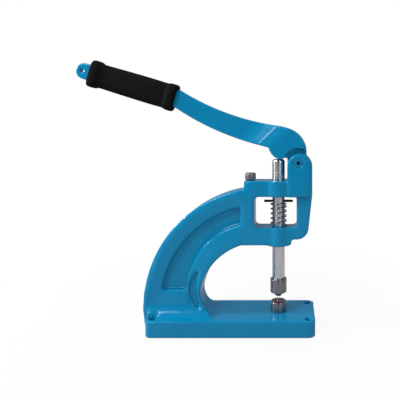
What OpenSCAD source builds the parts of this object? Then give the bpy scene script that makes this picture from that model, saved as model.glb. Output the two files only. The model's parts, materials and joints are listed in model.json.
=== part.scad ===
// Hand press for eyelets. A C-shaped frame casting carries a sliding ram over a fixed lower
// die. A cam lever with a foam grip pushes the ram down, and a coil spring lifts it again.
// +X is the nose of the head, +Z is up, and the origin is the centre of the base's underside.

/* [Base] */
// Length of the base plate, along the arch
base_l = 193.8; // [190:0.2:230]
// Width of the base plate
base_w = 60; // [56:1:90]
// Thickness of the base plate
base_h = 19; // [17:0.5:26]
// Radius of the base plate's upright corners
base_corner_r = 7; // [3:0.5:7.5]
// Diameter of the four bolt holes
bolt_hole_d = 7; // [5:0.5:9]
// Distance from a bolt hole's centre to the nearest two edges
bolt_inset = 8; // [7:0.5:10]
// Diameter of the flat that is cut round each bolt hole beside the arch
bolt_flat_d = 10; // [9.5:0.5:13]

/* [Arch] */
// Distance from the ram's axis back to the centre of the arch's outer circle
arch_back = 18.3; // [17.5:0.1:19]
// Height of that centre above the base
arch_rise = 8.9; // [8:0.1:10]
// Distance from the ram's axis back to the centre of the throat's circle
throat_back = 23; // [22:0.1:24]
// Height of that centre above the base
throat_rise = 14.4; // [13.5:0.1:15]
// Thickness of the arch and head casting, front to back
arch_t = 27; // [24:0.5:30]
// Outer radius of the arch
arch_r = 139.2; // [138:0.1:142]
// Radius of the throat behind the dies
throat_r = 69.5; // [68:0.5:71]
// Radius of the curve from the throat down to the base
throat_foot_r = 29; // [27:0.5:31]
// Width of the rim along the arch's outer edge
outer_rim_w = 19.5; // [17:0.5:22]
// Width of the raised bead on the outer rim
bead_w = 7; // [5:0.5:10]
// Height of the raised bead above the rim's face
bead_h = 1.2; // [0.8:0.1:2]
// Radius of the recess edge on the throat's side
recess_inner_r = 78.7; // [77:0.1:79.5]
// Distance from the ram's axis back to the centre of that recess edge
recess_back = 28.9; // [28:0.1:30]
// Height of that centre above the base
recess_rise = 27.3; // [26:0.1:29]
// Distance from the ram's axis back to the recess's end by the head
recess_end = 44.4; // [43:0.2:47]
// Height above the base of the recess's end by the foot
recess_foot_h = 29; // [25:1:32]
// Thickness of the web left between the two side recesses
web_t = 13; // [10:0.5:16]
// Height above the base at which the arch starts to sweep out into its foot
foot_h = 16; // [14.5:0.5:24]
// Spread of the foot on each side
foot_spread = 14; // [12:0.5:16]
// Radius of the outer edge of the raised bead along the throat
throat_bead_r = 60.6; // [60:0.1:61.4]
// Distance from the ram's axis back to the centre of that edge
throat_bead_back = 35.3; // [34.6:0.1:36]
// Height of that centre above the base
throat_bead_rise = 30.8; // [30:0.1:31.6]
// Height of the throat's bead above the arch's side
throat_bead_h = 0.8; // [0.4:0.1:1.4]
// Width of the hollow between the throat's bead and the recess
hollow_w = 8.6; // [6:0.2:9.6]
// Height of that hollow, from tip to tip
hollow_h = 46; // [36:1:50]
// Height of the hollow's middle above the base
hollow_rise = 29.5; // [27:0.5:31]
// Depth of the hollow
hollow_t = 5; // [2:0.5:7]

/* [Head] */
// Free height of the throat above the base
throat_h = 80.8; // [79:0.2:82]
// Height of the lower arm
lower_arm_h = 20.2; // [19:0.2:23]
// Height of the window between the arms
window_h = 36.3; // [35:0.1:38]
// Height of the upper arm
upper_arm_h = 18.8; // [16:0.2:21]
// Distance from the ram's axis to the window's left side
window_left = 28; // [26:0.5:29]
// Distance from the ram's axis to the window's right side
window_right = 21.7; // [20:0.1:22.5]
// Radius of the window's corners
window_corner_r = 4.5; // [3:0.5:6]
// Distance from the ram's axis to the head's left end
head_left = 40.4; // [38:0.2:42]
// Diameter of the upper ram boss
upper_boss_d = 34.8; // [32:0.2:36]
// Diameter of the lower ram boss
lower_boss_d = 31; // [29:0.5:33]
// Length of the lower boss below the lower arm
lower_boss_drop = 1.8; // [0.5:0.1:4]
// Thickness of the column to the right of the window
column_t = 24; // [20:0.5:26]
// Width of the column at the top
column_top_w = 18.3; // [17:0.1:19]
// Width of the column at the bottom
column_foot_w = 14.2; // [13:0.1:16]
// Radius of the rounded lower end of the column
column_end_r = 14; // [10:0.5:14]
// Thickness of the two ears together with the slot between them
ear_t = 34.8; // [33:0.2:38]
// Width of the slot between the ears
ear_slot = 16; // [14:0.2:18]
// Gap between the ram and the ears
ear_gap = 3.2; // [2.8:0.1:4]
// Width of the ears, left to right
ear_w = 29.4; // [29:0.1:31]
// Height of the ears' round top above the pivot
ear_rise = 11; // [9:0.2:12.6]
// Gap between the tongue and the floor of the slot
slot_floor_gap = 2.4; // [1:0.1:4]

/* [Ram and spring] */
// Distance from the ram's axis to the base's right-hand end
ram_inset = 42.9; // [41.5:0.1:44]
// Diameter of the ram
ram_d = 15; // [14:0.5:16]
// Radial running gap between the ram and its bosses
ram_gap = 0.05; // [0.03:0.01:0.1]
// Height of the ram's top above the head
ram_stick = 25.1; // [24:0.1:26]
// Radius of the ram's rounded top edge
ram_top_r = 3; // [1:0.5:4]
// Diameter of the pin across the ram
cross_pin_d = 3; // [2.5:0.1:3.5]
// Length of the pin across the ram
cross_pin_l = 34.6; // [28:0.2:38]
// Gap from the cross pin up to the upper arm at rest
cross_pin_gap = 4.8; // [4.8:0.1:6]
// Diameter of the spring's wire
wire_d = 1.8; // [1.5:0.1:2]
// Gap between the ram and the inside of the spring
spring_gap = 0.6; // [0.5:0.1:0.9]
// Number of turns of the spring
spring_turns = 4; // [3:1:6]

/* [Dies] */
// Gap between the two dies with the lever all the way down
die_close_gap = 0.42; // [0.3:0.02:1]
// Diameter of the upper die
upper_die_d = 19.4; // [18:0.2:21]
// Height of the upper die's body
upper_die_h = 16.2; // [14:0.1:16.4]
// Diameter of the upper die's nose
nose_d = 8; // [7:0.1:8.4]
// Length of the upper die's nose
nose_l = 4.8; // [3:0.1:5]
// Depth of the cone in the top of the lower die
cone_h = 3; // [2:0.1:3.5]
// Diameter of the lower die
lower_die_d = 18.6; // [18:0.2:21]
// Height of the lower die above the base
lower_die_h = 11.5; // [10:0.1:11.8]
// Diameter of both dies' shanks
shank_d = 8; // [7:0.2:8.6]
// Length of both dies' shanks
shank_l = 13; // [10:0.5:14]
// Diametral gap round a die's shank
shank_gap = 0.06; // [0.04:0.01:0.1]
// Diameter of the set screws that hold the dies
set_screw_d = 5; // [4:0.5:5.5]
// Length of the set screw in the ram
ram_screw_l = 3.2; // [2.8:0.1:3.4]
// Length of the set screw in the base
base_screw_l = 8; // [6:0.5:12]

/* [Lever] */
// Distance from the ram's axis to the lever's pivot
pivot_dx = 23.7; // [23:0.1:24.5]
// Height of the pivot above the head
pivot_rise = 21.3; // [21:0.1:22.5]
// Diameter of the pivot pin
pivot_pin_d = 10; // [9:0.2:11]
// Diameter of the blind hole in each end of the pivot pin
pin_recess_d = 5; // [3:0.2:6]
// Depth of those blind holes
pin_recess_l = 6; // [3:0.5:12]
// Diametral running gap of the lever on its pin
pivot_gap = 0.1; // [0.06:0.01:0.16]
// Thickness of the lever's arm
lever_t = 8; // [6:0.5:12]
// Thickness of the lever's cam head
cam_t = 26; // [22:0.5:28]
// Gap on each side between the tongue and an ear
tongue_gap = 0.3; // [0.2:0.05:0.5]
// Radius of the tongue round the pin
tongue_r = 13; // [11.5:0.5:13.5]
// Radius of the relief that clears the ears
ear_relief_r = 17; // [16.6:0.1:17.6]
// Radius of the lever head's round back
lever_back_r = 29.4; // [28.6:0.2:30]
// Distance from the pivot to the centre of the round back, left to right
back_dx = 19.5; // [19:0.1:20]
// Height of the centre of the round back above the pivot
back_rise = 12.3; // [12:0.1:13]
// Radius of the curve that eases the round back into the arm
crown_r = 62; // [56:1:68]
// Radius of the cam where it pushes the ram
cam_r = 11; // [9:0.5:12]
// Radius of the cam's outer flank
cam_flank_r = 18; // [16:0.5:19]
// Distance from the pivot to the cam's centre at rest, left to right
cam_dx = 21.3; // [20.6:0.1:22]
// Lever's swing above rest in degrees
swing_up = 11.5; // [8:0.5:11.5]
// Lever's swing below rest in degrees
swing_down = 27; // [22:0.5:27]
// Least gap between the cam and the ram
cam_gap = 0.1; // [0.05:0.05:0.3]
// Distance from the cam's centre to the place where the arm meets the cam, left to right
arm_meet_dx = 13.1; // [12.5:0.1:13.5]
// Height of the arm's lower edge above the pivot at that place
arm_meet_low = 17.76; // [17:0.02:19]
// Height of the arm's upper edge above the pivot at that place
arm_meet_high = 45.37; // [44.5:0.01:46]
// Depth of the arm below the grip's middle line where it leaves the grip
arm_root_low = 9.73; // [9:0.01:11]
// Height of the arm above the grip's middle line where it leaves the grip
arm_root_high = 11.86; // [10:0.01:12.4]
// Radius of the arm's lower edge
arm_under_r = 314; // [280:1:350]
// Radius of the arm's upper edge
arm_top_r = 298.6; // [270:0.1:330]
// Lean of the crease between the arm and the thick head, in degrees from upright
crease_lean = 46; // [30:1:55]
// Distance along the arm over which it thickens into the head
crease_w = 7.5; // [5:0.5:12]
// Distance from the cam's centre to the middle of the crease, left to right
crease_dx = 9.1; // [7:0.1:14]
// Distance from the grip's outer end to the centre of the lever's round end
tail_out = 7.2; // [6.5:0.1:9]
// Width of the bar that carries the grip
bar_w = 19.2; // [17:0.2:20.4]
// Diameter of the hole in the lever's end
tail_hole_d = 5; // [4:0.5:6.5]
// Distance from that hole's centre to the lever's end
tail_hole_end = 7.6; // [6:0.2:9]

/* [Grip] */
// Distance from the pivot to the grip's middle, left to right
grip_reach = 197.6; // [190:0.2:205]
// Height of the grip's middle above the pivot
grip_height = 91.5; // [88:0.5:95]
// Length of the grip
grip_l = 107; // [95:0.5:110]
// Width of the grip, seen from the side of the machine
grip_w = 30; // [27:0.5:32]
// Thickness of the grip, front to back
grip_t = 15.5; // [14:0.5:26]
// Width of the grip's end collars
collar_w = 33; // [32.5:0.5:36]
// Length of a collar
collar_l = 12; // [8:0.5:14]
// Gap between the grip and the bar inside it
grip_gap = 0.2; // [0.1:0.05:0.4]
// Slope of the grip above the horizontal in degrees
grip_tilt = 16.8; // [15:0.1:18]

/* [Stop screw] */
// Distance from the ram's axis to the stop screw
stop_dx = 33.6; // [33:0.1:34.5]
// Thread diameter of the stop screw
stop_d = 8; // [6:0.5:8]
// Diameter of the stop screw's head
stop_head_d = 13; // [10:0.5:14]
// Height of the stop screw's head
stop_head_h = 8.2; // [6:0.2:8.6]
// Gap between the stop screw's head and the casting
stop_gap = 0.4; // [0.2:0.1:0.8]
// Length of thread in the head casting
stop_l = 15; // [10:0.5:16]

/* [Hidden] */
$fn = 96;

blue = "#1478ae";
steel = "#b9b6b4";
dark_steel = "#4c4a4c";
black = "#1c1c1e";

cut = 0.1;                                  // how far a cut runs past the face it opens
pin_gap = 0.04;                             // diametral gap of a tight pin in its hole
thread_gap = 0.1;                           // diametral gap of a screw in its plain hole

// Heights of the frame, from the ground up
arm_z = base_h + throat_h;                  // underside of the lower arm
window_z = arm_z + lower_arm_h;             // floor of the window
window_top = window_z + window_h;           // roof of the window and underside of the ears' block
head_z = window_top + upper_arm_h;          // top of the head

// Arch and throat circles in the side view
ram_x = base_l / 2 - ram_inset;             // place of the ram's axis
arch_c = [ram_x - arch_back, base_h + arch_rise];
throat_c = [ram_x - throat_back, base_h + throat_rise];
recess_c = [ram_x - recess_back, base_h + recess_rise];
foot_z = base_h + foot_h;
recess_foot = base_h + recess_foot_h;
throat_foot_z = base_h + throat_foot_r - 2; // the foot curve meets the base at a small angle
throat_foot_x = throat_c[0] - sqrt(pow(throat_r, 2) - pow(throat_foot_z - throat_c[1], 2))
                + throat_foot_r;
recess_right = ram_x - recess_end;          // end of the side recess towards the head
throat_bead_c = [ram_x - throat_bead_back, base_h + throat_bead_rise];
hollow_z = base_h + hollow_rise;

// Ears and pivot
ear_x0 = ram_x + ram_d / 2 + ear_gap;
pivot = [ram_x + pivot_dx, head_z + pivot_rise];
ear_c = [ear_x0 + ear_w / 2, pivot[1] + ear_rise - ear_w / 2];
slot_floor = pivot[1] - tongue_r - slot_floor_gap;

ram_z = head_z + ram_stick;                 // top of the ram at rest

// Cam: the lever turns by a, in degrees below rest, and the cam's lowest point drops
cam_c0 = ram_z + cam_r - pivot[1];          // cam centre above the pivot, before the rest gap
function drop(a) = cam_c0 - (cam_c0 * cos(a) - cam_dx * sin(a));
cam_ratio = (drop(swing_down) - drop(-swing_up)) / (swing_down + swing_up);
rest_gap = drop(-swing_up) + cam_ratio * swing_up + cam_gap;
cam_c = [pivot[0] - cam_dx, ram_z + rest_gap + cam_r];
flank_c = cam_c + (cam_r - cam_flank_r) * [cos(236), sin(236)];
ram_down = cam_ratio * swing_down;
ram_up = cam_ratio * swing_up;

// Ram, spring and dies
lower_die_z = base_h + lower_die_h;
die_z = lower_die_z + ram_down + die_close_gap; // shoulder of the upper die
ram_foot = die_z + upper_die_h;             // the upper die's top sits here
ram_l = ram_z - ram_foot;
cross_pin_z = window_top - cross_pin_gap - cross_pin_d / 2;
spring_z0 = window_z;                       // the spring stands on the lower arm
spring_z1 = cross_pin_z - cross_pin_d / 2;
ram_screw_z = ram_foot + shank_l - set_screw_d;
base_screw_z = base_h - shank_l + 0.8 * set_screw_d;

// Lever's arm and grip in the side view
back_c = pivot + [-back_dx, back_rise];
crown_turn = 22;                            // where the crown meets the round back, in degrees
crown_c = back_c - (crown_r - lever_back_r) * [sin(crown_turn), cos(crown_turn)];
grip_c = pivot + [-grip_reach, grip_height];
grip_dir = [cos(grip_tilt), -sin(grip_tilt)];
grip_up = [sin(grip_tilt), cos(grip_tilt)];
arm_root = grip_c + grip_dir * grip_l / 2;  // where the arm leaves the grip
arm_meet_x = cam_c[0] - arm_meet_dx;
arm_under_c = arc_centre(arm_root - arm_root_low * grip_up,
                         [arm_meet_x, pivot[1] + arm_meet_low], arm_under_r);
arm_top_c = arc_centre(arm_root + arm_root_high * grip_up,
                       [arm_meet_x, pivot[1] + arm_meet_high], arm_top_r);
tail_l = grip_l / 2 + tail_out;             // from the grip's middle to the bar's round end
tail_c = grip_c - grip_dir * tail_l;
hole_c = tail_c - grip_dir * (bar_w / 2 - tail_hole_end);

// Centre of the circle of radius r through p and q, on the upper side of the line to the right
function arc_centre(p, q, r) = (p + q) / 2
    + sqrt(pow(r, 2) - pow(norm(q - p) / 2, 2)) / norm(q - p) * [p[1] - q[1], q[0] - p[0]];

// Stop screw
stop_x = ram_x - stop_dx;
stop_chamfer = 1;
stop_z = head_z + stop_gap + stop_head_h;

echo(ram_up = ram_up, ram_down = ram_down, per_radian = cam_ratio * 180 / PI, gap = rest_gap);
echo(pivot = pivot, die_gap = die_z - lower_die_z, ram_l = ram_l, hole = hole_c);

// A side-view outline made into a plate of thickness t about the middle plane
module side(t) {
    rotate([90, 0, 0]) linear_extrude(t, center = true) children();
}

// A rectangle with rounded corners, from corner p0 to corner p1
module round_rect(p0, p1, r) {
    translate([p0[0] + r, p0[1]]) square([p1[0] - p0[0] - 2 * r, p1[1] - p0[1]]);
    translate([p0[0], p0[1] + r]) square([p1[0] - p0[0], p1[1] - p0[1] - 2 * r]);
    for (x = [p0[0] + r, p1[0] - r], y = [p0[1] + r, p1[1] - r]) translate([x, y]) circle(r);
}

// ---- Frame casting ----

module throat_outline() {
    right = ram_x + 200;
    intersection() {
        translate(throat_c) circle(throat_r, $fn = 180);
        translate([throat_c[0] - throat_r, throat_foot_z]) square([throat_r, arm_z - throat_foot_z]);
    }
    translate([throat_c[0] - cut, throat_foot_z]) square([right, arm_z - throat_foot_z]);
    intersection() {
        translate([throat_foot_x, throat_foot_z]) circle(throat_foot_r);
        translate([throat_foot_x - throat_foot_r, 0]) square([throat_foot_r, throat_foot_z + cut]);
    }
    translate([throat_foot_x - cut, 0]) square([right, throat_foot_z + 2 * cut]);
}

module arch_outline() {
    difference() {
        intersection() {
            translate(arch_c) circle(arch_r, $fn = 240);
            translate([arch_c[0] - arch_r, 0])
                square([ram_x - window_left - arch_c[0] + arch_r, head_z]);
        }
        throat_outline();
    }
}

module recess_outline() {
    difference() {
        intersection() {
            translate(arch_c) circle(arch_r - outer_rim_w, $fn = 240);
            translate([arch_c[0] - arch_r, recess_foot])
                square([recess_right - arch_c[0] + arch_r, head_z]);
        }
        translate(recess_c) circle(recess_inner_r, $fn = 180);
    }
}

// Hollow between the throat's bead and the foot of the arch: a lens with two pointed tips
module hollow_outline() {
    half = hollow_h / 2;
    tip_rise = half + hollow_z - throat_bead_c[1];
    bead_x = throat_bead_c[0] - sqrt(pow(throat_bead_r, 2) - pow(tip_rise, 2));
    left_x = throat_bead_c[0] - throat_bead_r - hollow_w;
    bulge = bead_x - left_x;
    r = (pow(half, 2) + pow(bulge, 2)) / (2 * bulge);
    difference() {
        intersection() {
            translate([left_x + r, hollow_z]) circle(r, $fn = 180);
            translate([left_x, hollow_z - half]) square([bulge + r, hollow_h]);
        }
        translate(throat_bead_c) circle(throat_bead_r, $fn = 180);
    }
}

module throat_bead() {
    difference() {
        intersection() {
            translate(throat_bead_c) circle(throat_bead_r, $fn = 180);
            translate([throat_bead_c[0] - throat_bead_r, base_h])
                square([recess_right - throat_bead_c[0] + throat_bead_r, head_z]);
        }
        throat_outline();
    }
}

module bead() {
    intersection() {
        difference() {
            translate(arch_c) circle(arch_r, $fn = 240);
            translate(arch_c) circle(arch_r - bead_w, $fn = 240);
        }
        translate([arch_c[0] - arch_r, base_h])
            square([recess_right - arch_c[0] + arch_r, head_z]);
    }
}

// Cross-section of the spreading foot, as a plate along X
module foot_block() {
    sweep_r = (pow(foot_spread, 2) + pow(foot_h, 2)) / (2 * foot_spread);
    half = arch_t / 2 + foot_spread + 1;    // the sweep, not the block, ends the foot
    difference() {
        translate([arch_c[0] - arch_r, -half, base_h - cut])
            cube([throat_foot_x - arch_c[0] + arch_r, 2 * half, foot_h + cut]);
        for (s = [-1, 1])
            translate([-base_l, s * (arch_t / 2 + sweep_r), foot_z])
                rotate([0, 90, 0]) cylinder(h = 2 * base_l, r = sweep_r, $fn = 180);
    }
}

module arch() {
    difference() {
        union() {
            side(arch_t) arch_outline();
            side(arch_t + 2 * bead_h) bead();
            side(arch_t + 2 * throat_bead_h) throat_bead();
            intersection() {
                foot_block();
                side(base_w) arch_outline();
                translate([0, 0, base_h - cut]) linear_extrude(foot_h + cut) base_outline();
            }
        }
        for (s = [-1, 1]) {
            translate([0, s * (web_t / 2 + base_w / 2), 0]) side(base_w) recess_outline();
            translate([0, s * (arch_t / 2 - hollow_t + base_w / 2), 0])
                side(base_w) hollow_outline();
        }
        for (y = [-1, 1])
            translate([bolt_inset - base_l / 2, y * (base_w / 2 - bolt_inset), base_h])
                cylinder(h = foot_h, d = bolt_flat_d);
    }
}

module base_outline() {
    round_rect([-base_l / 2, -base_w / 2], [base_l / 2, base_w / 2], base_corner_r);
}

// Side view of the head without the ears: both arms, the column and the end by the arch
module head_outline() {
    column_x = ram_x + window_right;
    translate([ram_x - head_left, arm_z]) square([head_left + lower_boss_d / 2, head_z - arm_z]);
    translate([ram_x, arm_z + lower_arm_h - column_end_r + cut])
        square([window_right + cut, head_z - arm_z - lower_arm_h + column_end_r - cut]);
    polygon([[column_x, window_z - cut], [column_x + column_foot_w, window_z - cut],
             [column_x + column_top_w, window_top + cut], [column_x, window_top + cut]]);
    intersection() {
        translate([column_x + column_foot_w - column_end_r, window_z])
            circle(column_end_r);
        translate([ram_x, arm_z]) square([2 * window_right, lower_arm_h]);
    }
    translate([ram_x, window_z - column_end_r])
        square([column_x + column_foot_w - column_end_r - ram_x, column_end_r]);
}

module window_outline() {
    round_rect([ram_x - window_left, window_z], [ram_x + window_right, window_top],
               window_corner_r);
    // the corner under the ears is square
    translate([ram_x + window_right - window_corner_r, window_top - window_corner_r])
        square(window_corner_r);
}

module ears() {
    difference() {
        side(ear_t) {
            translate(ear_c) circle(ear_w / 2);
            translate([ear_x0, window_top]) square([ear_w, ear_c[1] - window_top]);
        }
        translate([ear_x0 - cut, -ear_slot / 2, slot_floor])
            cube([ear_w + 2 * cut, ear_slot, ear_c[1] - slot_floor + ear_w]);
    }
}

module bosses() {
    translate([ram_x, 0, window_top]) cylinder(h = upper_arm_h, d = upper_boss_d);
    translate([ram_x, 0, arm_z - lower_boss_drop])
        cylinder(h = lower_arm_h + lower_boss_drop, d = lower_boss_d);
}

module frame_casting() {
    color(blue) difference() {
        union() {
            linear_extrude(base_h) base_outline();
            arch();
            difference() {
                side(column_t) head_outline();
                side(ear_t) window_outline();
            }
            side(arch_t) difference() {
                intersection() {
                    head_outline();
                    translate([ram_x - head_left, 0]) square([head_left, 2 * head_z]);
                }
                window_outline();
            }
            bosses();
            ears();
        }
        // ram bore and pivot hole
        translate([ram_x, 0, arm_z - lower_boss_drop - cut])
            cylinder(h = head_z, d = ram_d + 2 * ram_gap);
        translate([pivot[0], 0, pivot[1]]) rotate([90, 0, 0])
            cylinder(h = ear_t + 2 * cut, d = pivot_pin_d + pin_gap, center = true);
        // hole of the stop screw
        translate([stop_x, 0, stop_z - stop_head_h - stop_l - 1])
            cylinder(h = stop_l + stop_head_h, d = stop_d + thread_gap);
        // die socket and its set screw's hole from the rear
        translate([ram_x, 0, base_h - shank_l - 1])
            cylinder(h = shank_l + 1 + cut, d = shank_d + shank_gap);
        translate([ram_x, base_w / 2 + cut, base_screw_z]) rotate([90, 0, 0])
            cylinder(h = base_w / 2, d = set_screw_d + thread_gap);
        for (x = [-1, 1], y = [-1, 1])
            translate([x * (base_l / 2 - bolt_inset), y * (base_w / 2 - bolt_inset), -cut])
                cylinder(h = base_h + 2 * cut, d = bolt_hole_d);
    }
}

// ---- Dies, set screws and stop screw ----

module lower_die() {
    r = lower_die_d / 2;
    bore_r = nose_d / 2 + 0.6;
    floor_z = lower_die_z - nose_l - 3;
    color(dark_steel) translate([ram_x, 0, 0]) rotate_extrude()
        polygon([[0, base_h - shank_l], [shank_d / 2, base_h - shank_l], [shank_d / 2, base_h],
                 [r, base_h], [r, lower_die_z - 1], [r - 0.4, lower_die_z], [r - 0.9, lower_die_z],
                 [bore_r, lower_die_z - cone_h], [bore_r, floor_z], [0, floor_z]]);
}

module upper_die() {
    r = upper_die_d / 2;
    color(steel) translate([ram_x, 0, die_z]) rotate_extrude()
        polygon([[0, -nose_l], [nose_d / 2 - 1, -nose_l], [nose_d / 2, 1 - nose_l],
                 [nose_d / 2, -cone_h], [r - 0.9, 0], [r - 0.4, 0], [r, 0.6],
                 [r, upper_die_h - 0.6], [r - 0.6, upper_die_h], [shank_d / 2, upper_die_h],
                 [shank_d / 2, upper_die_h + shank_l], [0, upper_die_h + shank_l]]);
}

// A headless set screw along Y, its outer end at the origin, with a hexagon socket
module set_screw(l) {
    socket = set_screw_d / 2;
    rotate([90, 0, 0]) difference() {
        cylinder(h = l, d = set_screw_d);
        translate([0, 0, -cut])
            cylinder(h = min(2.5, l / 2) + cut, d = socket / cos(30), $fn = 6);
    }
}

module lower_die_set_screw() {
    color(black) translate([ram_x, shank_d / 2 + base_screw_l, base_screw_z])
        set_screw(base_screw_l);
}

module upper_die_set_screw() {
    color(black) translate([ram_x, shank_d / 2 + ram_screw_l, ram_screw_z])
        set_screw(ram_screw_l);
}

module stop_screw() {
    socket_af = 6;
    r = stop_head_d / 2;
    color(steel) translate([stop_x, 0, stop_z - stop_head_h]) difference() {
        union() {
            rotate_extrude()
                polygon([[0, 0], [r, 0], [r, stop_head_h - stop_chamfer],
                         [r - stop_chamfer, stop_head_h], [0, stop_head_h]]);
            translate([0, 0, -stop_l]) cylinder(h = stop_l + cut, d = stop_d);
        }
        translate([0, 0, stop_head_h / 2])
            cylinder(h = stop_head_h, d = socket_af / cos(30), $fn = 6);
    }
}

module pivot_pin() {
    end_inset = 0.3;
    color(blue) translate([pivot[0], 0, pivot[1]]) rotate([90, 0, 0]) difference() {
        cylinder(h = ear_t - 2 * end_inset, d = pivot_pin_d, center = true);
        for (s = [-1, 1]) translate([0, 0, s * (ear_t / 2 - end_inset)])
            cylinder(h = 2 * pin_recess_l, d = pin_recess_d, center = true);
    }
}

// ---- Ram, cross pin and spring ----

module ram() {
    r = ram_d / 2;
    color(steel) difference() {
        translate([ram_x, 0, 0]) union() {
            translate([0, 0, ram_foot]) cylinder(h = ram_l - ram_top_r, r = r);
            translate([0, 0, ram_foot]) cylinder(h = ram_l, r = r - ram_top_r);
            translate([0, 0, ram_z - ram_top_r]) rotate_extrude() intersection() {
                translate([r - ram_top_r, 0]) circle(ram_top_r);
                translate([r - ram_top_r - cut, 0]) square([ram_top_r + cut, ram_top_r]);
            }
        }
        translate([ram_x, 0, ram_foot - cut])
            cylinder(h = shank_l + 1 + cut, d = shank_d + shank_gap);
        translate([ram_x - ram_d, 0, cross_pin_z]) rotate([0, 90, 0])
            cylinder(h = 2 * ram_d, d = cross_pin_d + pin_gap);
        translate([ram_x, 0, ram_screw_z]) rotate([-90, 0, 0])
            cylinder(h = ram_d, d = set_screw_d + thread_gap);
    }
}

module spring_cross_pin() {
    r = cross_pin_d / 2;
    color(black) translate([ram_x - cross_pin_l / 2, 0, cross_pin_z]) rotate([0, 90, 0])
        rotate_extrude()
            polygon([[0, 0], [r - 0.5, 0], [r, 0.5], [r, cross_pin_l - 0.5],
                     [r - 0.5, cross_pin_l], [0, cross_pin_l]]);
}

// The spring's wire follows a helix, with its two ends bent to stand square on the seats
spring_r = ram_d / 2 + spring_gap + wire_d / 2;
ring_steps = 12;
wire_sides = 6;
stub = wire_d;                              // straight length at each end
bend_z = wire_d * 0.6;                      // height used to bend from the stub into the coil
coil_z0 = spring_z0 + stub + bend_z;
coil_z1 = spring_z1 - stub - bend_z;
coil_steps = ring_steps * spring_turns;
function coil_point(i) = [ram_x + spring_r * cos(180 + 360 * i / ring_steps),
                          spring_r * sin(180 + 360 * i / ring_steps),
                          coil_z0 + (coil_z1 - coil_z0) * i / coil_steps];
spring_path = concat(
    [[ram_x - spring_r, 0, spring_z0], [ram_x - spring_r, 0, spring_z0 + stub]],
    [for (i = [1 : coil_steps - 1]) coil_point(i)],
    [[ram_x - spring_r, 0, spring_z1 - stub], [ram_x - spring_r, 0, spring_z1]]);
function unit(v) = v / norm(v);
function ring(i) = let(
    n = len(spring_path) - 1,
    p = spring_path[i],
    ahead = i < 2 || i > n - 2 ? [0, 0, 1] : unit(spring_path[i + 1] - spring_path[i - 1]),
    out = unit([p[0] - ram_x, p[1], 0]),
    side_dir = unit(cross(ahead, out)),
    out_dir = cross(side_dir, ahead))
    [for (k = [0 : wire_sides - 1]) p + wire_d / 2
        * (cos(360 * k / wire_sides) * out_dir + sin(360 * k / wire_sides) * side_dir)];

module ram_spring() {
    n = len(spring_path);
    points = [for (i = [0 : n - 1]) each ring(i)];
    walls = [for (i = [0 : n - 2], k = [0 : wire_sides - 1]) let(
        a = i * wire_sides + k,
        b = i * wire_sides + (k + 1) % wire_sides)
        each [[a, a + wire_sides, b], [b, a + wire_sides, b + wire_sides]]];
    caps = [for (k = [1 : wire_sides - 2]) each [[0, k, k + 1],
        [(n - 1) * wire_sides, (n - 1) * wire_sides + k + 1, (n - 1) * wire_sides + k]]];
    color(steel) polyhedron(points = points, faces = concat(walls, caps), convexity = 20);
}

// Least gap of the spring to itself, measured between points half a turn or more apart
path_end = len(spring_path) - 1;
spring_gap_self = min([for (i = [0 : path_end], j = [i + ring_steps / 2 : 1 : path_end])
    norm(spring_path[i] - spring_path[j])]) - wire_d;
echo(spring_gap_self = spring_gap_self);

// ---- Lever and grip ----

module grip_frame() {
    translate([grip_c[0], 0, grip_c[1]]) rotate([0, 90 + grip_tilt, 0]) children();
}

// Half plane to the right of the grip's inner end, in the side view
module beyond_grip() {
    translate(arm_root) rotate(-grip_tilt)
        translate([0, -grip_reach]) square([2 * grip_reach, 2 * grip_reach]);
}

module arm_outline() {
    intersection() {
        difference() {
            translate(arm_under_c) circle(arm_under_r, $fn = 360);
            translate(arm_top_c) circle(arm_top_r, $fn = 360);
        }
        translate([grip_c[0], pivot[1]])
            square([cam_c[0] + cam_r / 16 - grip_c[0], 2 * grip_height]);
        beyond_grip();
    }
}

module bar_outline() {
    translate(grip_c) rotate(-grip_tilt)
        translate([-tail_l, -bar_w / 2]) square([tail_l + grip_l / 2 + 1, bar_w]);
    translate(tail_c) circle(bar_w / 2);
}

// Cam head: the round back over the cam and its flank
module cam_outline() {
    intersection() {
        translate(back_c) circle(lever_back_r);
        translate([arm_meet_x, cam_c[1]]) square([2 * lever_back_r, 2 * lever_back_r]);
    }
    intersection() {
        translate(crown_c) circle(crown_r, $fn = 180);
        translate([arm_meet_x, cam_c[1]])
            square([back_c[0] + lever_back_r * sin(crown_turn) - arm_meet_x, 2 * lever_back_r]);
    }
    translate(cam_c) circle(cam_r);
    intersection() {
        translate(flank_c) circle(cam_flank_r);
        translate(flank_c) rotate(236 - 90) translate([0, -2 * cam_flank_r])
            square(4 * cam_flank_r);
    }
    // heel that fills the corner between the cam and the ears
    heel = cam_c + cam_r * [cos(285), sin(285)];
    tongue_side = pivot + tongue_r * [cos(150.6), sin(150.6)];
    polygon([heel, tongue_side, [pivot[0], cam_c[1]], cam_c + [0, cam_r], cam_c]);
}

module tongue_outline() {
    translate(pivot) circle(tongue_r);
    intersection() {
        union() {
            translate(back_c) circle(lever_back_r);
            cam_outline();
        }
        translate([pivot[0] - tongue_r, pivot[1] + 3])
            square([2 * lever_back_r, 2 * lever_back_r]);
    }
    intersection() {
        cam_outline();
        translate(cam_c - [0, cam_r]) square([cam_dx, 2 * lever_back_r]);
    }
}

// Cross-section of the lever in a plane square to the crease: a slim arm, then the thick head
module lever_plan() {
    half = lever_t / 2;
    wide = cam_t / 2;
    far = 2 * grip_reach;
    polygon([[-far, -half], [-crease_w, -half], [0, -wide], [far, -wide],
             [far, wide], [0, wide], [-crease_w, half], [-far, half]]);
}

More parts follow.
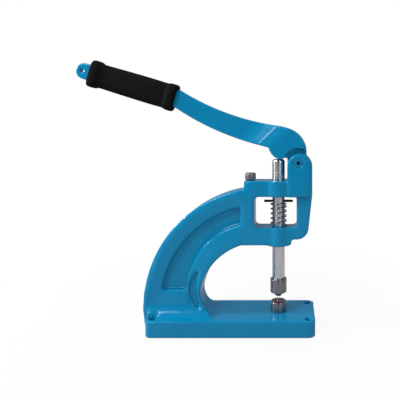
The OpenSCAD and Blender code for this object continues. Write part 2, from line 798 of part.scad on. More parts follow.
module lever() {
    tongue_t = ear_slot - 2 * tongue_gap;
    color(blue) difference() {
        union() {
            difference() {
                intersection() {
                    side(cam_t) {
                        arm_outline();
                        cam_outline();
                    }
                    translate([cam_c[0] - crease_dx, 0, cam_c[1] + cam_r])
                        rotate([0, crease_lean, 0])
                        linear_extrude(2 * grip_reach, center = true) lever_plan();
                }
                translate([pivot[0], 0, pivot[1]]) rotate([90, 0, 0])
                    cylinder(h = cam_t + 2, r = ear_relief_r, center = true);
            }
            side(tongue_t) tongue_outline();
            side(lever_t) bar_outline();
        }
        translate([pivot[0], 0, pivot[1]]) rotate([90, 0, 0])
            cylinder(h = cam_t, d = pivot_pin_d + pivot_gap, center = true);
        translate([hole_c[0], 0, hole_c[1]]) rotate([90, 0, 0])
            cylinder(h = cam_t, d = tail_hole_d, center = true);
    }
}

// A grip cross-section, d narrower than the collars all round
module grip_section(d) {
    w = collar_w / 2 - d;
    t = (grip_t + collar_w - grip_w) / 2 - d;
    r = min(t, w) - 0.5;
    round_rect([-w, -t], [w, t], r);
}

module lever_grip() {
    step = (collar_w - grip_w) / 2;
    h = grip_l / 2;
    color(black) grip_frame() difference() {
        union() {
            translate([0, 0, -h + 1]) linear_extrude(grip_l - 2) grip_section(step);
            for (s = [-1, 1]) translate([0, 0, s * (h - collar_l / 2)]) {
                linear_extrude(collar_l - 4, center = true) grip_section(0);
                linear_extrude(collar_l - 1.6, center = true) grip_section(0.7);
                linear_extrude(collar_l, center = true) grip_section(2);
            }
        }
        cube([bar_w + 2 * grip_gap, lever_t + 2 * grip_gap, grip_l + 2], center = true);
    }
}

frame_casting();
lower_die();
lower_die_set_screw();
stop_screw();
pivot_pin();
ram_spring();
ram();
spring_cross_pin();
upper_die();
upper_die_set_screw();
lever();
lever_grip();
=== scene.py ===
"""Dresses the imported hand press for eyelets: enamelled castings, steel parts, foam grip, studio."""

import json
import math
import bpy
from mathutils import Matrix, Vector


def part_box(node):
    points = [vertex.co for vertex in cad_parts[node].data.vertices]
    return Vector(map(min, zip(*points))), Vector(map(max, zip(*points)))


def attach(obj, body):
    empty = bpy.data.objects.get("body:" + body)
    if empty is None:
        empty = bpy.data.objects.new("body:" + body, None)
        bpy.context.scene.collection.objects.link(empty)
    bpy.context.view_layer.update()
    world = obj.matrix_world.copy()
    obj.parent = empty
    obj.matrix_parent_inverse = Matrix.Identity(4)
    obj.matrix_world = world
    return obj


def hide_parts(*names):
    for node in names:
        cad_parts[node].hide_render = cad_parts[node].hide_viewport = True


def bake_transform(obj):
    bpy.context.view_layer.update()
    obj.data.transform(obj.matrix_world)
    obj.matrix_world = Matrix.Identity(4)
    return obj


bl_info = {
    "name": "Hand Eyelet Press",
    "version": (1, 0, 0),
    "blender": (4, 5, 0),
    "location": "3D View > Sidebar > Eyelet Press",
    "description": "Finishes the castings, steel parts, spring and grip of a hand eyelet press",
    "category": "Object",
}

import bmesh
import bpy
from bpy.props import FloatProperty, FloatVectorProperty, IntProperty, PointerProperty
from mathutils import Matrix, Vector

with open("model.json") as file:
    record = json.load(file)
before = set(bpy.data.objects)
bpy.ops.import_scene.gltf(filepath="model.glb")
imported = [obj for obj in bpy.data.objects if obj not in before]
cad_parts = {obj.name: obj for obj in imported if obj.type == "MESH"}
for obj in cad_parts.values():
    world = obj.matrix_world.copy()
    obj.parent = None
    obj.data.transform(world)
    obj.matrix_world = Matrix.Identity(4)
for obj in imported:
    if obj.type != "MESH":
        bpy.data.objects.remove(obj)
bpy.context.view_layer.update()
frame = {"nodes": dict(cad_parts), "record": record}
CAD = frame["nodes"]
MOUNTS = {mount["name"]: mount for mount in frame["record"]["mounts"]}
MM = 0.001
WELD = 1e-6
UP = Vector((0, 0, 1))
REAR = Vector((0, 1, 0))
WHITE = (1, 1, 1, 1)


def mm(*values):
    """A point given in millimetres, in metres."""
    return Vector(values) * MM


def node_centre(node):
    """Middle of a CAD node's box."""
    low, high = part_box(node)
    return (low + high) / 2


RAM_AXIS = Vector((node_centre("ram").x, 0, 0))
PIVOT = node_centre("pivot_pin")
TAIL_HOLE = Vector(MOUNTS["lever_end_hole"]["pos_m"])

# radii that just take in the walls of the machined bores
RAM_BORE = 7.8 * MM
PIVOT_BORE = 5.3 * MM
TAIL_BORE = 2.7 * MM

# the base's corners: upright zones 6.6 mm outside the bolt holes, each with a narrow core that
# stays as cut and a wide surround that is rounded further, above the base and off its left end
CORNER_INSET = 8 * MM
CORNER_SIDE = 22 * MM
CORNER_CORE = 3.75 * MM
CORNER_ROUND = 10 * MM
BASE_TOP = 19.6 * MM
BASE_LEFT = -95.5 * MM

# the arch: centres of its outer edge and its throat, and the limits of its hollow and its bead
ARCH = mm(35.7, 0, 27.9)
THROAT = mm(18.7, 0, 49.8)
RIM_RADIUS = 124 * MM
HOLLOW_RADIUS = 126 * MM
THROAT_BAND = 57.5 * MM
HOLLOW_RIGHT = 14 * MM
HOLLOW_BOTTOM = 26 * MM
HOLLOW_HALF = 15 * MM
RIM_RIGHT = 20 * MM

# the arch's foot, where its front and back spread into the base
FOOT_LEFT = -95 * MM
FOOT_RIGHT = -18 * MM
FOOT_BOTTOM = 20 * MM
FOOT_TOP = 48 * MM
FOOT_HALF = 11 * MM

# the lever: middle of the crease between arm and head, its lean, the length of the solid's own
# ramp there, how far past the middle the drawn-out ramp ends, and the half depth on each side
CREASE = mm(47.3, 0, 22.7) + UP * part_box("ram")[1].z
CREASE_LEAN = math.radians(46)
CREASE_RAMP = 7.5 * MM
CREASE_END = 6 * MM
ARM_HALF = 4 * MM
HEAD_HALF = 13 * MM

# the foam grip, and the mouth that grips the bar
GRIP_HALF = 53.5 * MM
GRIP_THIN = 7.75 * MM
GRIP_TILT = math.radians(16.8)
BAR_WIDE = 9.2 * MM
BAR_THIN = 4.2 * MM
CORNER_POWER = 0.62

# the return spring: open turns, then a closing one that ends flat
COIL_RADIUS = 9 * MM
COIL_PITCH = 5.65 * MM
OPEN_TURNS = 4.5
CLOSING_TURNS = 0.47
TURN_STEPS = 48
COIL_GAP = 0.02 * MM


# ---- Settings ----


class PressSizes(bpy.types.PropertyGroup):
    """Sizes of the finish that a maker would change"""

    casting_voxel: FloatProperty(
        name="Casting skin",
        description="Edge length of the quads on the frame casting's skin",
        default=1.1 * MM,
        min=0.6 * MM,
        max=3 * MM,
        unit="LENGTH",
    )
    casting_rounding: IntProperty(
        name="Casting rounding",
        description="Smoothing passes that round the cast edges",
        default=7,
        min=0,
        max=40,
    )
    recess_rounding: IntProperty(
        name="Recess rounding",
        description="Further smoothing passes in the recesses and hollows of the arch",
        default=40,
        min=0,
        max=120,
    )
    lever_voxel: FloatProperty(
        name="Lever skin",
        description="Edge length of the quads on the lever's skin",
        default=0.7 * MM,
        min=0.4 * MM,
        max=2 * MM,
        unit="LENGTH",
    )
    lever_rounding: IntProperty(
        name="Lever rounding",
        description="Smoothing passes that round the lever's edges",
        default=9,
        min=0,
        max=40,
    )
    crease_length: FloatProperty(
        name="Crease length",
        description="Length over which the lever's arm swells into its head",
        default=38 * MM,
        min=8 * MM,
        max=60 * MM,
        unit="LENGTH",
    )
    wire_diameter: FloatProperty(
        name="Spring wire",
        description="Diameter of the return spring's wire",
        default=1.8 * MM,
        min=0.5 * MM,
        max=2.2 * MM,
        unit="LENGTH",
    )
    grip_body: FloatProperty(
        name="Grip width",
        description="Width of the foam grip between its collars",
        default=30 * MM,
        min=24 * MM,
        max=33 * MM,
        unit="LENGTH",
    )
    grip_collar: FloatProperty(
        name="Collar width",
        description="Width of the foam grip's end collars",
        default=33 * MM,
        min=26 * MM,
        max=36 * MM,
        unit="LENGTH",
    )


def colour_property(name, description, default):
    """A colour picker with no alpha."""
    return FloatVectorProperty(
        name=name,
        description=description,
        default=default,
        min=0,
        max=1,
        size=3,
        subtype="COLOR",
    )


class PressColours(bpy.types.PropertyGroup):
    """Colours of the press's finishes"""

    enamel: colour_property(
        "Enamel", "Blue stove enamel on the castings", (0.002, 0.185, 0.365)
    )
    ground_steel: colour_property(
        "Ground steel", "Bright ground steel of the ram", (0.82, 0.8, 0.82)
    )
    turned_steel: colour_property(
        "Turned steel", "Darker turned steel of the dies", (0.34, 0.31, 0.33)
    )
    browned_steel: colour_property(
        "Browned steel", "Browned steel of the stop screw", (0.4, 0.34, 0.34)
    )
    black_steel: colour_property(
        "Black steel", "Black oxide of pins and set screws", (0.022, 0.022, 0.024)
    )
    spring_wire: colour_property(
        "Spring wire", "Drawn wire of the return spring", (0.46, 0.44, 0.42)
    )
    foam: colour_property("Foam", "Black foam of the grip", (0.0022, 0.0022, 0.0023))
    floor: colour_property("Floor", "Studio floor and backdrop", (0.55, 0.55, 0.55))


class PressSettings(bpy.types.PropertyGroup):
    """All that the panel shows"""

    sizes: PointerProperty(type=PressSizes)
    colours: PointerProperty(type=PressColours)


# ---- Materials ----


class Wire:
    """A shader socket's output that takes part in plain arithmetic."""

    def __init__(self, board, socket):
        self.board = board
        self.socket = socket

    def _math(self, operation, *terms):
        return self.board.node(
            "ShaderNodeMath", {"operation": operation}, dict(enumerate(terms))
        )

    def __add__(self, other):
        return self._math("ADD", self, other)

    __radd__ = __add__

    def __sub__(self, other):
        return self._math("SUBTRACT", self, other)

    def __rsub__(self, other):
        return self._math("SUBTRACT", other, self)

    def __mul__(self, other):
        return self._math("MULTIPLY", self, other)

    __rmul__ = __mul__

    def step(self, start, end):
        """0 below start, 1 above end, smooth in between."""
        return self.board.node(
            "ShaderNodeMapRange",
            {"interpolation_type": "SMOOTHSTEP"},
            {"Value": self, "From Min": start, "From Max": end},
        )


class Board:
    """A node tree that nodes are added to."""

    def __init__(self, tree):
        self.tree = tree

    def node(self, kind, settings=None, sockets=None, output=0):
        """A node of any kind: its settings first, then its sockets' values or links."""
        made = self.tree.nodes.new(kind)
        for key, value in (settings or {}).items():
            setattr(made, key, value)
        for key, value in (sockets or {}).items():
            if isinstance(value, Wire):
                self.tree.links.new(value.socket, made.inputs[key])
            else:
                made.inputs[key].default_value = value
        return None if output is None else Wire(self, made.outputs[output])

    def rays(self):
        """Whether the ray comes from the camera, a mirror-like surface or through a surface."""
        return [
            self.node("ShaderNodeLightPath", output=f"Is {kind} Ray")
            for kind in ("Camera", "Glossy", "Transmission")
        ]


class Finish(Board):
    """One material, built on its own principled shader."""

    def __init__(self, name, color, **constants):
        self.material = bpy.data.materials.new(name)
        self.material.use_nodes = True
        super().__init__(self.material.node_tree)
        self.shader = self.tree.nodes["Principled BSDF"]
        self.set("Base Color", (*color, 1))
        for socket, value in constants.items():
            self.set(socket.replace("_", " "), value)

    def set(self, socket, value):
        """Gives a shader socket a constant or a link."""
        target = self.shader.inputs[socket]
        if isinstance(value, Wire):
            self.tree.links.new(value.socket, target)
        else:
            target.default_value = value

    def place(self, stretch=(1, 1, 1), centre=(0, 0, 0)):
        """Object coordinates in metres about a centre, stretched along the axes."""
        coordinates = self.node("ShaderNodeTexCoord", output="Object")
        centred = self.node(
            "ShaderNodeVectorMath",
            {"operation": "SUBTRACT"},
            {0: coordinates, 1: tuple(centre)},
        )
        return self.node(
            "ShaderNodeVectorMath",
            {"operation": "MULTIPLY"},
            {0: centred, 1: tuple(stretch)},
        )

    def noise(self, where, grain, detail=2.0, rough=0.5):
        """Fractal noise whose features are about grain metres across."""
        return self.node(
            "ShaderNodeTexNoise",
            {},
            {"Vector": where, "Scale": 1 / grain, "Detail": detail, "Roughness": rough},
        )

    def tint(self, mask, dark, light):
        """A colour between dark and light."""
        return self.node(
            "ShaderNodeMix",
            {"data_type": "RGBA"},
            {0: mask, 6: (*dark, 1), 7: (*light, 1)},
            output=2,
        )

    def bump(self, height, depth, strength=1.0, under=None):
        """Normals of a height map whose full range is depth metres."""
        sockets = {"Strength": strength, "Distance": depth, "Height": height}
        if under is not None:
            sockets["Normal"] = under
        return self.node("ShaderNodeBump", {}, sockets)


def shade(color, factor):
    """A colour made darker or lighter."""
    return tuple(min(1.0, c * factor) for c in color)


def enamel_finish(colours):
    """Glossy stove enamel over a sand casting: soft waves, faint grain, uneven gloss."""
    finish = Finish("stove_enamel", colours.enamel, Metallic=0.0, Specular_IOR_Level=0.25)
    place = finish.place()
    wide = finish.noise(place, 45 * MM, 2)
    grain = finish.noise(place, 2.4 * MM, 3, 0.55)
    waves = finish.noise(place, 11 * MM, 2)
    colour = finish.tint(
        wide * 0.7 + grain * 0.3, shade(colours.enamel, 0.86), shade(colours.enamel, 1.12)
    )
    finish.set("Base Color", colour)
    finish.set("Roughness", wide * 0.08 + grain * 0.1 + 0.07)
    rolling = finish.bump(waves, 0.25 * MM, 0.5)
    finish.set("Normal", finish.bump(grain, 0.1 * MM, 0.7, rolling))
    return finish.material


def turned_finish(name, color, rough, centre, ring, streak):
    """Steel with fine tool rings round an upright axis and a few dull patches."""
    finish = Finish(name, color, Metallic=1.0, Anisotropic=streak, Anisotropic_Rotation=0.25)
    rings = finish.noise(finish.place((0.06, 0.06, 1), centre), ring * MM, 2, 0.6)
    patches = finish.noise(finish.place((1, 1, 0.6), centre), 5 * MM, 3)
    mask = rings * 0.45 + patches * 0.55
    finish.set("Base Color", finish.tint(mask, shade(color, 0.72), shade(color, 1.18)))
    finish.set("Roughness", patches * 0.16 + rings * 0.14 + (rough - 0.15))
    finish.set("Normal", finish.bump(rings, 0.02 * MM, 0.5))
    return finish.material


def wire_finish(colours):
    """Drawn spring wire: fine streaks along the coil and darker patches of old oil."""
    finish = Finish("spring_wire", colours.spring_wire, Metallic=1.0)
    streaks = finish.noise(finish.place((1, 1, 3)), 1.2 * MM, 3)
    finish.set(
        "Base Color",
        finish.tint(streaks, shade(colours.spring_wire, 0.6), shade(colours.spring_wire, 1.3)),
    )
    finish.set("Roughness", streaks * 0.2 + 0.2)
    finish.set("Normal", finish.bump(streaks, 0.02 * MM, 0.4))
    return finish.material


def black_finish(colours):
    """Black oxide that has rubbed a little brighter in spots."""
    finish = Finish("black_oxide", colours.black_steel, Metallic=0.7)
    rubbed = finish.noise(finish.place(), 1.6 * MM, 4)
    finish.set(
        "Base Color",
        finish.tint(rubbed.step(0.55, 0.75), colours.black_steel, (0.09, 0.085, 0.08)),
    )
    finish.set("Roughness", rubbed * 0.2 + 0.3)
    finish.set("Normal", finish.bump(rubbed, 0.02 * MM, 0.3))
    return finish.material


def foam_finish(colours):
    """Closed-cell foam: a skin of small pores over slow swellings."""
    finish = Finish("foam", colours.foam, Metallic=0.0, Specular_IOR_Level=0.1)
    place = finish.place()
    pores = finish.node(
        "ShaderNodeTexVoronoi", {"feature": "F1"}, {"Vector": place, "Scale": 1 / (1.1 * MM)}
    )
    cells = finish.noise(place, 0.5 * MM, 3, 0.6)
    patches = finish.noise(place, 14 * MM, 3)
    skin = pores.step(0.05, 0.55)
    finish.set(
        "Base Color",
        finish.tint(
            patches * 0.5 + skin * cells * 0.5,
            shade(colours.foam, 0.65),
            shade(colours.foam, 1.7),
        ),
    )
    finish.set("Roughness", cells * 0.14 + 0.74)
    swelling = finish.bump(patches, 0.5 * MM, 0.35)
    finish.set("Normal", finish.bump(skin * 0.7 + cells * 0.3, 0.16 * MM, 0.7, swelling))
    return finish.material


def material(name, make, *values):
    """The material of that name, made once."""
    return bpy.data.materials.get(name) or make(*values)


# ---- Meshes ----


def merged_copy(node):
    """A CAD node's surface as one joined mesh."""
    bm = bmesh.new()
    bm.from_mesh(CAD[node].data)
    bmesh.ops.remove_doubles(bm, verts=bm.verts, dist=WELD)
    return bm


def new_object(name, bm):
    """The mesh as a linked object at the origin."""
    mesh = bpy.data.meshes.new(name)
    bm.to_mesh(mesh)
    bm.free()
    made = bpy.data.objects.new(name, mesh)
    bpy.context.scene.collection.objects.link(made)
    return made


def voxel_skin(bm, size):
    """The same solid under an even skin of quads."""
    block = new_object("skin_block", bm)
    remesh = block.modifiers.new("Skin", "REMESH")
    remesh.mode = "VOXEL"
    remesh.voxel_size = size
    remesh.adaptivity = 0
    graph = bpy.context.evaluated_depsgraph_get()
    skin = bmesh.new()
    skin.from_mesh(block.evaluated_get(graph).to_mesh())
    mesh = block.data
    bpy.data.objects.remove(block)
    bpy.data.meshes.remove(mesh)
    if not skin.verts:
        raise RuntimeError("the voxel skin came out empty")
    return skin


def within(point, zones):
    """Whether a point lies in one of the endless cylinders, given as centre, axis and radius."""
    for centre, axis, radius in zones:
        arm = point - centre
        if (arm - axis * arm.dot(axis)).length < radius:
            return True
    return False


def smoothed(bm, verts, passes, outline=True):
    """Relaxes the vertices towards their neighbours, or their depth alone to keep the outline."""
    for _ in range(passes):
        bmesh.ops.smooth_vert(
            bm, verts=verts, factor=0.5, use_axis_x=outline, use_axis_y=True, use_axis_z=outline
        )


def rounded(bm, passes, true):
    """Rounds every cast edge and corner, apart from the zones that stay true."""
    smoothed(bm, [v for v in bm.verts if not within(v.co, true)], passes)


def place_piece(name, bm, nodes, body, finish, sharp=None):
    """Puts a finished mesh in the scene for the CAD nodes that it stands for."""
    piece = new_object(name, bm)
    piece.data.shade_smooth()
    if sharp is not None:
        piece.data.set_sharp_from_angle(angle=math.radians(sharp))
    piece.data.materials.append(finish)
    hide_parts(*nodes)
    if body is not None:
        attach(piece, body)
    return piece


def softened(node, width, segments=2, angle=25):
    """A CAD node with its flat faces joined and its edges broken by a small bevel."""
    bm = merged_copy(node)
    bmesh.ops.dissolve_limit(
        bm, angle_limit=math.radians(1), verts=bm.verts, edges=bm.edges
    )
    edges = [
        e
        for e in bm.edges
        if len(e.link_faces) == 2 and e.calc_face_angle(0) > math.radians(angle)
    ]
    bmesh.ops.bevel(
        bm,
        geom=edges,
        offset=width,
        offset_type="OFFSET",
        affect="EDGES",
        segments=segments,
        profile=0.5,
        clamp_overlap=True,
        material=-1,
    )
    return bm


# ---- Operators ----


class PressOperator:
    """What the press's operators share"""

    bl_options = {"REGISTER", "UNDO"}


class PRESS_OT_casting(PressOperator, bpy.types.Operator):
    """Give the frame casting its rounded cast edges and blue enamel"""

    bl_idname = "eyelet_press.casting"
    bl_label = "Frame casting"

    def execute(self, context):
        press = context.scene.eyelet_press
        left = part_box("frame_casting")[0].x + CORNER_INSET
        corners = [Vector((x, y, 0)) for x in (left, -left) for y in (-CORNER_SIDE, CORNER_SIDE)]
        true = [
            (RAM_AXIS, UP, RAM_BORE),
            (PIVOT, REAR, PIVOT_BORE),
            *((corner, UP, CORNER_CORE) for corner in corners),
        ]
        bm = voxel_skin(merged_copy("frame_casting"), press.sizes.casting_voxel)
        rounded(bm, press.sizes.casting_rounding, true)
        for zone in (self.in_hollow, self.on_foot, self.on_rim):
            verts = [v for v in bm.verts if zone(v.co)]
            smoothed(bm, verts, press.sizes.recess_rounding, outline=False)
        surrounds = [(corner, UP, CORNER_ROUND) for corner in corners]
        verts = [v for v in bm.verts if self.by_corner(v.co, surrounds)]
        smoothed(bm, verts, press.sizes.recess_rounding)
        enamel = material("stove_enamel", enamel_finish, press.colours)
        place_piece("enamelled_frame", bm, ["frame_casting"], "frame", enamel)
        return {"FINISHED"}

    @staticmethod
    def away(point, centre):
        """How far a point lies from a centre, seen from the side."""
        return math.hypot(point.x - centre.x, point.z - centre.z)

    @classmethod
    def in_hollow(cls, point):
        """Whether a point lies on the arch's sides between its outer bead and the throat."""
        return (
            cls.away(point, ARCH) < HOLLOW_RADIUS
            and cls.away(point, THROAT) > THROAT_BAND
            and point.x < HOLLOW_RIGHT
            and point.z > HOLLOW_BOTTOM
            and abs(point.y) < HOLLOW_HALF
        )

    @classmethod
    def on_rim(cls, point):
        """Whether a point lies on the arch's outer bead."""
        return (
            cls.away(point, ARCH) > RIM_RADIUS
            and point.x < RIM_RIGHT
            and point.z > FOOT_TOP
        )

    @staticmethod
    def on_foot(point):
        """Whether a point lies where the arch's front and back spread into the base."""
        return (
            FOOT_LEFT < point.x < FOOT_RIGHT
            and FOOT_BOTTOM < point.z < FOOT_TOP
            and abs(point.y) > FOOT_HALF
        )

    @staticmethod
    def by_corner(point, surrounds):
        """Whether a point lies over a corner of the base, on its top face or above it."""
        return point.z > BASE_TOP and point.x > BASE_LEFT and within(point, surrounds)


class PRESS_OT_lever(PressOperator, bpy.types.Operator):
    """Give the cam lever its rounded edges and blue enamel"""

    bl_idname = "eyelet_press.lever"
    bl_label = "Cam lever"

    def execute(self, context):
        press = context.scene.eyelet_press
        true = [(PIVOT, REAR, PIVOT_BORE), (TAIL_HOLE, REAR, TAIL_BORE)]
        bm = voxel_skin(merged_copy("lever"), press.sizes.lever_voxel)
        for vert in bm.verts:
            vert.co.y *= self.eased(vert.co, press.sizes.crease_length)
        rounded(bm, press.sizes.lever_rounding, true)
        enamel = material("stove_enamel", enamel_finish, press.colours)
        place_piece("enamelled_lever", bm, ["lever"], "lever", enamel)
        bm = softened("pivot_pin", 0.5 * MM)
        place_piece("pivot_bush", bm, ["pivot_pin"], "frame", enamel, 35)
        return {"FINISHED"}

    @staticmethod
    def eased(point, length):
        """How much thicker the casting is at a point when the crease is drawn out over a length."""
        arm = point - CREASE
        across = arm.x * math.cos(CREASE_LEAN) - arm.z * math.sin(CREASE_LEAN)
        step = min(1, max(0, across / CREASE_RAMP + 1))
        slope = min(1, max(0, (across - CREASE_END) / length + 1))
        swell = HEAD_HALF - ARM_HALF
        wanted = ARM_HALF + swell * slope * slope * (3 - 2 * slope)
        return wanted / (ARM_HALF + swell * step)


class PRESS_OT_grip(PressOperator, bpy.types.Operator):
    """Model the foam grip as a swelling sleeve with two end collars"""

    bl_idname = "eyelet_press.grip"
    bl_label = "Foam grip"

    def execute(self, context):
        press = context.scene.eyelet_press
        bm = bmesh.new()
        bmesh.ops.create_circle(bm, segments=64, radius=1.0)
        ring = list(bm.edges)
        unit = {v: v.co.copy() for v in bm.verts}
        first = None
        stations = self.stations(press.sizes.grip_body / 2, press.sizes.grip_collar / 2)
        for place, wide, thick in stations:
            if first is not None:
                grown = bmesh.ops.extrude_edge_only(bm, edges=ring)["geom"]
                fresh = {g for g in grown if isinstance(g, bmesh.types.BMVert)}
                ring = [
                    g
                    for g in grown
                    if isinstance(g, bmesh.types.BMEdge) and all(v in fresh for v in g.verts)
                ]
                unit = self.match(fresh, unit)
            for vert, spot in unit.items():
                vert.co = self.section(spot, wide, thick) + UP * place
            first = first or list(ring)
        bmesh.ops.bridge_loops(bm, edges=first + ring)
        bmesh.ops.recalc_face_normals(bm, faces=bm.faces)
        shift = Matrix.Translation(node_centre("lever_grip"))
        turn = Matrix.Rotation(math.radians(90) + GRIP_TILT, 4, "Y")
        bmesh.ops.transform(bm, matrix=shift @ turn, verts=bm.verts)
        foam = material("foam", foam_finish, press.colours)
        piece = place_piece("foam_grip", bm, ["lever_grip"], "lever", foam)
        smooth = piece.modifiers.new("Foam", "SUBSURF")
        smooth.levels = smooth.render_levels = 2
        return {"FINISHED"}

    @staticmethod
    def stations(body, collar):
        """Place, half width and half thickness all along the grip, from end to end."""
        thick = GRIP_THIN + collar - body
        mouth = (GRIP_HALF, BAR_WIDE, BAR_THIN)
        # mm that each station of a collar lies in from the end, and mm by which it is slimmer
        rounding = ((0, 3.0), (0.5, 1.3), (1.6, 0.3), (4, 0), (9, 0.1), (11.2, 0.6))
        lip = [
            (GRIP_HALF - inset * MM, collar - less * MM, thick - less * MM)
            for inset, less in rounding
        ]
        # each station between the collars, and mm by which it is wider and thicker than the body
        swell = (
            (-GRIP_HALF + 12.6 * MM, -0.3, -0.2),
            (-GRIP_HALF + 15 * MM, -0.6, -0.3),
            (-GRIP_HALF * 0.4, -0.1, 0),
            (GRIP_HALF * 0.2, 0.35, 0.25),
            (GRIP_HALF * 0.5, 0.4, 0.2),
            (GRIP_HALF - 15 * MM, 0.1, -0.1),
            (GRIP_HALF - 12.6 * MM, 0.2, 0),
        )
        return [
            *((-place, wide, thin) for place, wide, thin in (mouth, *lip)),
            *((place, body + wide * MM, GRIP_THIN + thin * MM) for place, wide, thin in swell),
            *reversed(lip),
            mouth,
        ]

    @staticmethod
    def section(spot, wide, thick):
        """A point of the unit circle moved out to a flat section with well-rounded corners."""
        x = math.copysign(abs(spot.x) ** CORNER_POWER, spot.x) * wide
        y = math.copysign(abs(spot.y) ** CORNER_POWER, spot.y) * thick
        return Vector((x, y, 0))

    @staticmethod
    def match(fresh, unit):
        """The unit-circle spot of each new vertex, found from the ring that it grew from."""
        spots = {tuple(round(c, 7) for c in v.co): spot for v, spot in unit.items()}
        return {v: spots[tuple(round(c, 7) for c in v.co)] for v in fresh}


class PRESS_OT_spring(PressOperator, bpy.types.Operator):
    """Wind the return spring between the lower arm and the cross pin"""

    bl_idname = "eyelet_press.spring"
    bl_label = "Return spring"

    def execute(self, context):
        press = context.scene.eyelet_press
        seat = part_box("ram_spring")[0].z
        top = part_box("spring_cross_pin")[0].z
        wire = press.sizes.wire_diameter / 2
        start = seat + wire + COIL_GAP
        rise = OPEN_TURNS * COIL_PITCH
        close = top - wire - COIL_GAP - start - rise
        bm = bmesh.new()
        bmesh.ops.create_circle(bm, segments=16, radius=wire, cap_ends=True)
        upright = Matrix.Rotation(math.pi / 2, 3, "X")
        bmesh.ops.rotate(bm, verts=bm.verts, matrix=upright)
        foot = RAM_AXIS + Vector((COIL_RADIUS, 0, start))
        bmesh.ops.translate(bm, verts=bm.verts, vec=foot)
        face = list(bm.faces)
        for turns, height in ((OPEN_TURNS, rise), (CLOSING_TURNS, close)):
            steps = round(turns * TURN_STEPS)
            swept = bmesh.ops.spin(
                bm,
                geom=face,
                cent=RAM_AXIS,
                axis=UP,
                dvec=UP * (height / steps),
                angle=math.tau * turns,
                steps=steps,
            )
            face = [g for g in swept["geom_last"] if isinstance(g, bmesh.types.BMFace)]
        bmesh.ops.recalc_face_normals(bm, faces=bm.faces)
        steel = material("spring_wire", wire_finish, press.colours)
        piece = place_piece("return_spring", bm, ["ram_spring"], None, steel, 40)
        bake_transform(piece)
        return {"FINISHED"}


class PRESS_OT_steel(PressOperator, bpy.types.Operator):
    """Break the edges of the ram, dies, screws and pins and finish their steel"""

    bl_idname = "eyelet_press.steel"
    bl_label = "Steel parts"

    def execute(self, context):
        colours = context.scene.eyelet_press.colours
        screw_axis = Vector((node_centre("stop_screw").x, 0, 0))
        # colour name: roughness, axis of its rings, their width in mm, streak
        turnings = {
            "ground_steel": (0.27, RAM_AXIS, 0.5, 0.8),
            "turned_steel": (0.36, RAM_AXIS, 0.4, 0.6),
            "browned_steel": (0.4, screw_axis, 0.7, 0.0),
        }
        ground, turned, browned = (
            material(name, turned_finish, name, getattr(colours, name), *turning)
            for name, turning in turnings.items()
        )
        black = material("black_oxide", black_finish, colours)
        # piece, node, body, slot, finish, width of its broken edges in mm
        parts = (
            ("ground_ram", "ram", "ram", "ram_steel", ground, 0.15),
            ("upper_setting_die", "upper_die", "ram", "die_steel", turned, 0.2),
            ("lower_setting_die", "lower_die", "frame", "die_steel", turned, 0.2),
            ("stop_screw_browned", "stop_screw", "frame", "screw_steel", browned, 0.3),
            ("spring_pin", "spring_cross_pin", "ram", "black_steel", black, 0.15),
            ("ram_set_screw", "upper_die_set_screw", "ram", "black_steel", black, 0.2),
            ("base_set_screw", "lower_die_set_screw", "frame", "black_steel", black, 0.2),
        )
        for name, node, body, slot, finish, edge in parts:
            bm = softened(node, edge * MM)
            place_piece(name, bm, [node], body, finish, 30)
        return {"FINISHED"}


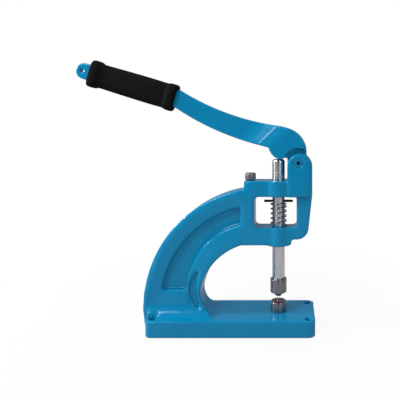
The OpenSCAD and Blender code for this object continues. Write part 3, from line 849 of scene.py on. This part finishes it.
class PRESS_OT_stage(PressOperator, bpy.types.Operator):
    """Set the studio: pale floor, soft lamps, world and the camera of the photograph"""

    bl_idname = "eyelet_press.stage"
    bl_label = "Studio"

    def execute(self, context):
        self.camera(context)
        self.world(context)
        self.floor(context.scene.eyelet_press.colours)
        # lamp: its place and width in mm, and its power in watts
        lamps = {
            "key": ((-520, -520, 800), 320, 4.5),
            "left_strip": ((-900, -100, 560), 150, 9.0),
            "fill": ((560, -760, 560), 420, 2.0),
            "top": ((60, 160, 1000), 420, 1.5),
        }
        for name, lamp in lamps.items():
            self.lamp(context, name, *lamp)
        context.scene.view_settings.view_transform = "Standard"
        return {"FINISHED"}

    @staticmethod
    def camera(context):
        """The camera of the photograph: level, straight from the front, its picture shifted."""
        data = bpy.data.cameras.new("photo_camera")
        data.sensor_width = 36
        data.lens = 36
        data.shift_x = -0.235
        data.shift_y = -0.17
        data.clip_start = 0.01
        data.clip_end = 100
        camera = bpy.data.objects.new("photo_camera", data)
        camera.location = mm(72.6, -480, 232.6)
        camera.rotation_euler = (math.pi / 2, 0, 0)
        context.scene.collection.objects.link(camera)
        context.scene.camera = camera

    @staticmethod
    def lamp(context, name, place, width, power):
        """A square lamp turned towards the middle of the press."""
        data = bpy.data.lights.new(name, "AREA")
        data.shape = "SQUARE"
        data.size = width * MM
        data.energy = power
        lamp = bpy.data.objects.new(name, data)
        lamp.location = mm(*place)
        aim = mm(0, 0, 150) - lamp.location
        lamp.rotation_euler = aim.to_track_quat("-Z", "Y").to_euler()
        context.scene.collection.objects.link(lamp)

    @staticmethod
    def world(context):
        """White to the camera, pale all round, and a dark front with a pale back in the gloss."""
        world = bpy.data.worlds.new("studio")
        context.scene.world = world
        world.use_nodes = True
        studio = Board(world.node_tree)
        studio.tree.nodes.clear()
        camera, glossy, through = studio.rays()
        direction = studio.node("ShaderNodeTexCoord", output="Generated")
        depth = studio.node("ShaderNodeSeparateXYZ", {}, {0: direction}, output="Y")
        backdrop = depth.step(-0.25, 0.3) * 0.25 + 0.04
        around = (1 - camera) * (1 - glossy) * 0.5
        strength = camera + through + glossy * backdrop + around
        sky = studio.node("ShaderNodeBackground", {}, {"Color": WHITE, "Strength": strength})
        studio.node("ShaderNodeOutputWorld", {}, {"Surface": sky}, output=None)

    @staticmethod
    def floor(colours):
        """A floor that glows white to the camera, a little less so under the press."""
        bm = bmesh.new()
        bmesh.ops.create_grid(bm, x_segments=1, y_segments=1, size=1.0)
        floor = new_object("studio_floor", bm)
        floor.location.z = -0.2 * MM
        finish = Finish("studio_floor", colours.floor, Roughness=0.9, Specular_IOR_Level=0.1)
        camera, glossy, through = finish.rays()
        far = finish.node(
            "ShaderNodeVectorMath", {"operation": "LENGTH"}, {0: finish.place()}, output=1
        )
        share = (camera + through) * (far.step(0.14, 0.4) * 0.07 + 0.93)
        lit = Wire(finish, finish.shader.outputs[0])
        glow, gleam = (
            finish.node("ShaderNodeEmission", {}, {"Color": WHITE, "Strength": strength})
            for strength in (1.0, 0.5)
        )
        mirrored = finish.node("ShaderNodeMixShader", {}, {0: glossy, 1: lit, 2: gleam})
        mixed = finish.node("ShaderNodeMixShader", {}, {0: share, 1: mirrored, 2: glow})
        out = finish.tree.nodes["Material Output"]
        finish.tree.links.new(mixed.socket, out.inputs["Surface"])
        floor.data.materials.append(finish.material)


class PRESS_PT_panel(bpy.types.Panel):
    """Lists the press's operators and settings"""

    bl_label = "Eyelet Press"
    bl_idname = "PRESS_PT_panel"
    bl_space_type = "VIEW_3D"
    bl_region_type = "UI"
    bl_category = "Eyelet Press"

    def draw(self, context):
        press = context.scene.eyelet_press
        for group in (press.sizes, press.colours):
            for key in group.bl_rna.properties.keys():
                if key not in ("rna_type", "name"):
                    self.layout.prop(group, key)
        for operator in OPERATORS:
            self.layout.operator(operator.bl_idname)


OPERATORS = (
    PRESS_OT_stage,
    PRESS_OT_casting,
    PRESS_OT_lever,
    PRESS_OT_grip,
    PRESS_OT_spring,
    PRESS_OT_steel,
)
CLASSES = (PressSizes, PressColours, PressSettings, *OPERATORS, PRESS_PT_panel)


def register():
    for cls in CLASSES:
        bpy.utils.register_class(cls)
    bpy.types.Scene.eyelet_press = PointerProperty(type=PressSettings)


def unregister():
    del bpy.types.Scene.eyelet_press
    for cls in reversed(CLASSES):
        bpy.utils.unregister_class(cls)


def main():
    register()
    bpy.ops.eyelet_press.stage()
    bpy.ops.eyelet_press.casting()
    bpy.ops.eyelet_press.lever()
    bpy.ops.eyelet_press.grip()
    bpy.ops.eyelet_press.spring()
    bpy.ops.eyelet_press.steel()


if __name__ == "__main__":
    main()
